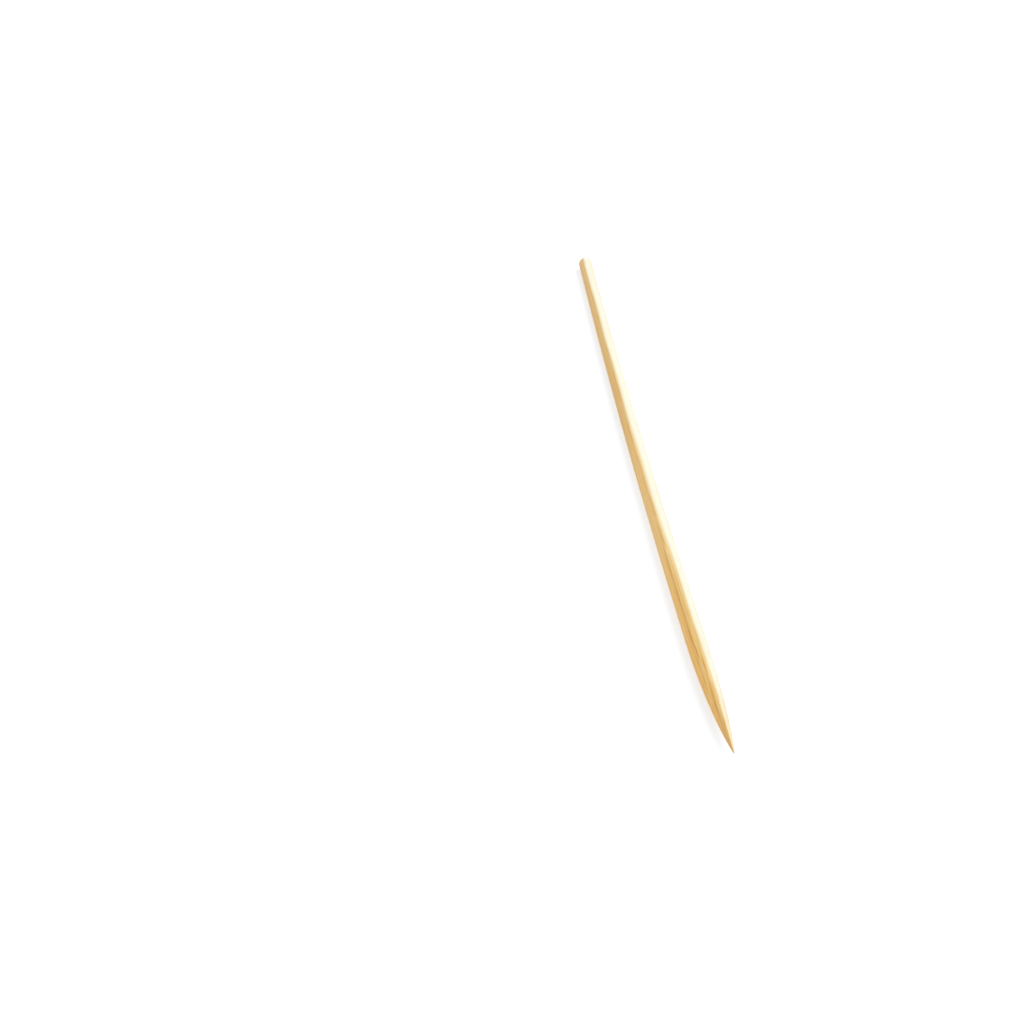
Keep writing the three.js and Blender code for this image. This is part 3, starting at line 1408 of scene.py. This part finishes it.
@dataclass(frozen=True)
class Softbox:
    """A rectangular lamp. Lengths are in metres.

    Attributes:
        name: its name in the scene.
        place: where it hangs.
        target: the point that it faces.
        wide: its short side.
        long: its long side, which runs along Y.
        watts: its power.
        colour: colour of its light.
    """

    name: str
    place: Point
    target: Point
    wide: float
    long: float
    watts: float
    colour: Colour

    def hang(self) -> bpy.types.Object:
        """Puts the lamp in the scene, facing its target.

        Returns:
            The lamp.
        """
        light = bpy.data.lights.new(self.name, "AREA")
        light.shape = "RECTANGLE"
        light.size, light.size_y = self.wide, self.long
        light.energy = self.watts
        light.color = self.colour
        towards = (Vector(self.target) - Vector(self.place)).normalized()
        across = Vector((0, 1, 0)).cross(-towards).normalized()
        along = (-towards).cross(across)
        turn = Matrix((across, along, -towards)).transposed().to_4x4()
        lamp = put(self.name, light)
        lamp.matrix_world = Matrix.Translation(self.place) @ turn
        LOG.info("lamp %s", lamp.name)
        return lamp


@dataclass(frozen=True)
class Studio:
    """The white table and the lamps. Lengths are in metres.

    Attributes:
        table_size: side of the table.
        table_colour: its paint.
        bounce: the colour that it throws back on the skewer.
        glow: strength of its glow near the skewer, as the camera sees it.
        glow_far: the same far away.
        glow_grows: distances between which the glow grows.
        lamps: the lamps.
        air: strength of the light from all around.
    """

    table_size: float = 8.0
    table_colour: Colour = (0.45, 0.52, 0.63)
    bounce: Colour = (0.72, 0.56, 0.34)
    glow: float = 0.63
    glow_far: float = 0.92
    glow_grows: Span = (0.15, 0.6)
    lamps: tuple[Softbox, ...] = (
        Softbox("key", (0.52, 0.08, 0.67), (0.0, 0.0, 0.0), 0.80, 1.2, 6.1, (1.0, 0.99, 0.97)),
        Softbox("fill", (-0.80, -0.10, 0.40), (0.0, 0.0, 0.0), 0.5, 1.4, 3.2, (1.0, 0.76, 0.42)),
    )
    air: float = 0.45

    def table(self) -> bpy.types.Object:
        """Lays the table: a flat sheet that the camera sees as plain white, with the skewer's shadow.

        What the camera sees is part paint, which keeps the shadow, and part glow, which grows where the
        lamps no longer reach. To the skewer the table is the warm colour that it throws back.

        Returns:
            The table.
        """
        half = self.table_size / 2
        corners = [(-half, -half, 0), (half, -half, 0), (half, half, 0), (-half, half, 0)]
        mesh = bpy.data.meshes.new("table")
        mesh.from_pydata(corners, [], [(0, 1, 2, 3)])
        material = bpy.data.materials.new("white_table")
        mesh.materials.append(material)

        bench = Bench.clear(material)
        path = bench.add("LightPath")
        paint = bench.add("BsdfDiffuse")
        colour = bench.blend(path.outputs["Is Diffuse Ray"], self.table_colour, self.bounce)
        bench.feed_all(paint, Color=colour)
        away = bench.add("VectorMath", operation="LENGTH")
        bench.feed(away.inputs[0], bench.add("TexCoord").outputs["Object"])
        level = bench.spread(away.outputs["Value"], *self.glow_grows, (self.glow, self.glow_far))
        glow = bench.add("Emission")
        bench.feed_all(glow, Strength=bench.times(bench.looked_at(path), level))
        both = bench.add("AddShader")
        bench.feed(both.inputs[0], paint.outputs[0])
        bench.feed(both.inputs[1], glow.outputs[0])
        bench.feed_all(bench.add("OutputMaterial"), Surface=both.outputs[0])

        table = put("table", mesh)
        return table

    def sky(self) -> None:
        """Makes the world an even soft light that the camera sees as plain white."""
        world = bpy.data.worlds.new("studio_air")
        bench = Bench.clear(world)
        seen = bench.looked_at(bench.add("LightPath"))
        back = bench.add("Background")
        strength = bench.line(seen, 1 - self.air, self.air)
        bench.feed_all(back, Color=(1.0, 1.0, 1.0), Strength=strength)
        bench.feed_all(bench.add("OutputWorld"), Surface=back.outputs[0])
        bpy.context.scene.world = world

    def light(self) -> None:
        """Sets up the table, the air and the lamps."""
        self.table()
        self.sky()
        for lamp in self.lamps:
            lamp.hang()


@dataclass(frozen=True)
class PhotoCamera:
    """The camera at the photograph's place, found from the skewer's outline in it.

    Attributes:
        place: where it stands, in metres.
        turn_right: how far it looks to the right of +Y, in degrees.
        look_down: how far it looks down, in degrees.
        focal_pixels: its focal length in pixels of the photograph.
        frame_pixels: width of the photograph in pixels.
        sensor: width of the sensor in millimetres.
        sees: nearest and farthest distance that it sees, in metres.
    """

    place: Point = (-0.05767, -0.27847, 0.18428)
    turn_right: float = 4.185
    look_down: float = 36.796
    focal_pixels: float = 1105.0
    frame_pixels: float = 1024.0
    sensor: float = 36.0
    sees: Span = (0.01, 50.0)

    def stand(self) -> bpy.types.Object:
        """Puts up the camera and makes it the scene's.

        Returns:
            The camera.
        """
        data = bpy.data.cameras.new("photo_camera")
        data.sensor_width = self.sensor
        data.lens = self.sensor * self.focal_pixels / self.frame_pixels
        data.clip_start, data.clip_end = self.sees
        camera = put("photo_camera", data)
        camera.location = self.place
        tilt, turn = math.radians(90 - self.look_down), math.radians(-self.turn_right)
        camera.rotation_euler = (tilt, 0.0, turn)
        bpy.context.scene.camera = camera
        return camera


def main() -> None:
    """Builds the skewer, its finish, the studio and the camera."""
    logging.basicConfig(level=logging.INFO, format="%(name)s: %(message)s")
    bpy.context.scene.view_settings.view_transform = "Standard"
    low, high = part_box(NODE)
    sizes = SkewerSizes(length=(high.y - low.y) / MM, diameter=(high.z - low.z) / MM)
    splint = Skewer(sizes, (low + high) / 2)
    splint.dress(splint.build(), Bamboo().material())
    PhotoCamera().stand()
    Studio().light()


if __name__ == "__main__":
    main()
